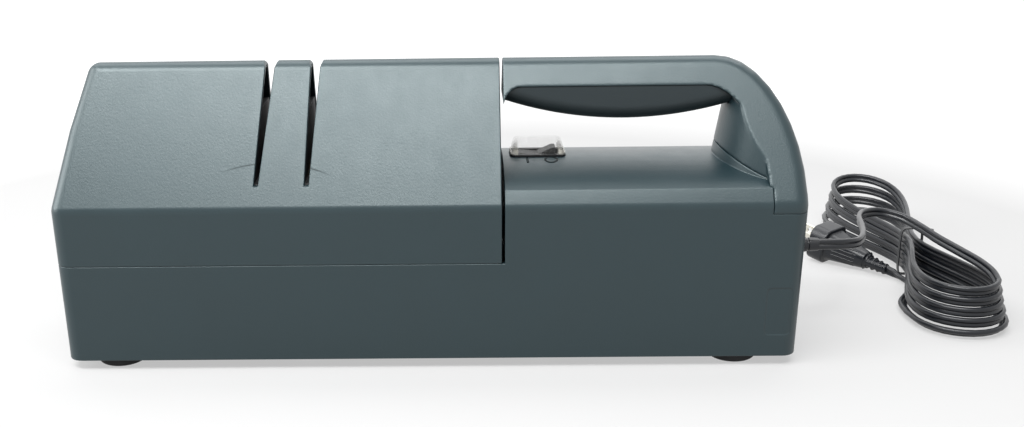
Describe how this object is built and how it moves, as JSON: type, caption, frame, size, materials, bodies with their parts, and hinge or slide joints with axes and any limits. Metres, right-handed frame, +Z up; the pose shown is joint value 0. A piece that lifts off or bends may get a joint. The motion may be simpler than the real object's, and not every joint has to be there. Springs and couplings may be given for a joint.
{
  "type": "electric knife sharpener",
  "caption": "Electric knife sharpener with a lift-off slotted grinding module, a hip-roofed housing, an arched carry handle, a rocker switch, rubber feet and a tied power cord.",
  "frame": {"origin": "on the table under the middle of the body", "axes": "+X along the body towards the handle end and the cord, +Y to the far side, +Z up"},
  "size_m": [0.5421, 0.2688, 0.1645],
  "materials": {
    "shell_plastic": "fine matt texture",
    "grip_plastic": "fine matt texture",
    "inner_plastic": "moulded",
    "foot_rubber": "matt",
    "steel": "plain",
    "laminations": "plain",
    "casting": "as cast",
    "bronze": "sintered",
    "coil_wire": "enamelled copper",
    "gear_plastic": "natural nylon",
    "coarse_grit": "diamond coated",
    "fine_grit": "diamond coated",
    "switch_black": "moulded",
    "clear_boot": "clear flexible plastic",
    "cord_black": "smooth",
    "wire_white": "smooth",
    "wire_red": "smooth",
    "blade_metal": "nickel plated"
  },
  "bodies": {
    "base": {"base_housing": "shell_plastic", "bottom_plate": "inner_plastic", "foot_front_left": "foot_rubber", "foot_front_right": "foot_rubber", "foot_rear_left": "foot_rubber", "foot_rear_right": "foot_rubber", "foot_screws": "steel", "base_screws": "steel", "handle": "shell_plastic", "finger_grip": "grip_plastic", "handle_screws": "steel", "motor_stator": "laminations", "field_coils": "coil_wire", "front_bracket": "casting", "rear_bracket": "casting", "front_bearing": "bronze", "rear_bearing": "bronze", "motor_bolts": "steel", "motor_screws": "steel", "switch_body": "switch_black", "switch_terminals": "bronze", "switch_boot": "clear_boot", "line_wire": "cord_black", "neutral_wire": "wire_white", "motor_wires": "wire_red", "inner_lead": "cord_black", "lead_clamp": "inner_plastic", "strain_relief": "cord_black", "power_cord": "cord_black", "cord_hank": "cord_black", "cord_tail": "cord_black", "cord_tie": "cord_black", "plug_body": "cord_black", "plug_blades": "blade_metal"},
    "rotor": {"motor_rotor": "laminations", "motor_shaft": "steel", "motor_pinion": "gear_plastic", "cooling_fan": "inner_plastic"},
    "module": {"module_cover": "shell_plastic", "module_tray": "inner_plastic", "knife_guide": "inner_plastic", "tray_screws": "steel", "left_shaft_bush": "bronze", "right_shaft_bush": "bronze"},
    "disc_set": {"disc_shaft": "steel", "drive_gear": "gear_plastic", "coarse_disc_left": "coarse_grit", "coarse_disc_right": "coarse_grit", "fine_disc_left": "fine_grit", "fine_disc_right": "fine_grit", "disc_spacer": "steel", "shaft_collars": "steel"},
    "rocker": {"switch_rocker": "switch_black"}
  },
  "joints": [
    {"name": "motor_spin", "type": "hinge", "parent": "base", "child": "rotor", "pos_m": [0.1, 0, 0.056], "axis": [1, 0, 0], "continuous": true},
    {"name": "module_lift", "type": "slide", "parent": "base", "child": "module", "axis": [0, 0, 1], "range_m": [0, 0.13]},
    {"name": "disc_spin", "type": "hinge", "parent": "module", "child": "disc_set", "pos_m": [0, 0, 0.08485], "axis": [1, 0, 0], "continuous": true},
    {"name": "rocker_tilt", "type": "hinge", "parent": "base", "child": "rocker", "pos_m": [0.061, 0.004, 0.107], "axis": [0, 1, 0], "range_deg": [0, 20]}
  ],
  "couplings": [
    {"joint": "disc_spin", "follows": "motor_spin", "ratio": -0.53333}
  ]
}
